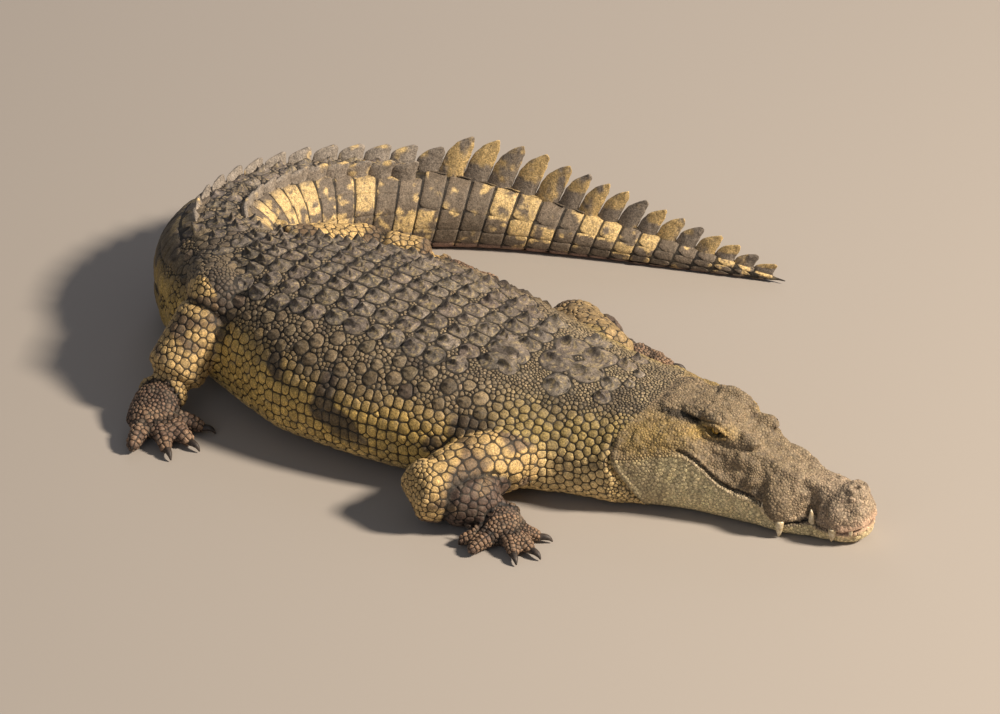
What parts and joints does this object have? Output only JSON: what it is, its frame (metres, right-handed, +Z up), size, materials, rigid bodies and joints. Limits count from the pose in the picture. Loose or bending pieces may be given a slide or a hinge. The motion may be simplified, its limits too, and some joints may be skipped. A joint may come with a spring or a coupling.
{
  "type": "crocodile",
  "caption": "Life-size adult Nile crocodile lying on its belly, jaws closed, tail curled round behind it and crested with upright scutes.",
  "frame": {"origin": "centre of the model's box in plan, on the floor it lies on", "axes": "+X along the head and trunk towards the snout, +Y to the animal's left, +Z up"},
  "size_m": [2.2835, 1.6826, 0.3898],
  "materials": {
    "hide": "dry scaly hide, olive and straw yellow with dark brown blotches",
    "eye": "wet gloss, yellow-green iris",
    "claw_horn": "dark worn horn"
  },
  "bodies": {
    "root": {"head": "hide", "lower_jaw": "hide", "eye_left": "eye", "eye_right": "eye", "neck": "hide", "trunk": "hide", "tail_1": "hide", "tail_2": "hide", "tail_3": "hide", "tail_4": "hide", "tail_5": "hide", "tail_6": "hide", "foreleg_right_upper": "hide", "foreleg_right_lower": "hide", "foreleg_right_foot": "hide", "claw_foreleg_right_1": "claw_horn", "claw_foreleg_right_2": "claw_horn", "claw_foreleg_right_3": "claw_horn", "foreleg_left_upper": "hide", "foreleg_left_lower": "hide", "foreleg_left_foot": "hide", "claw_foreleg_left_1": "claw_horn", "claw_foreleg_left_2": "claw_horn", "claw_foreleg_left_3": "claw_horn", "hindleg_right_upper": "hide", "hindleg_right_lower": "hide", "hindleg_right_foot": "hide", "claw_hindleg_right_1": "claw_horn", "claw_hindleg_right_2": "claw_horn", "claw_hindleg_right_3": "claw_horn", "hindleg_left_upper": "hide", "hindleg_left_lower": "hide", "hindleg_left_foot": "hide", "claw_hindleg_left_1": "claw_horn", "claw_hindleg_left_2": "claw_horn", "claw_hindleg_left_3": "claw_horn"}
  },
  "joints": []
}
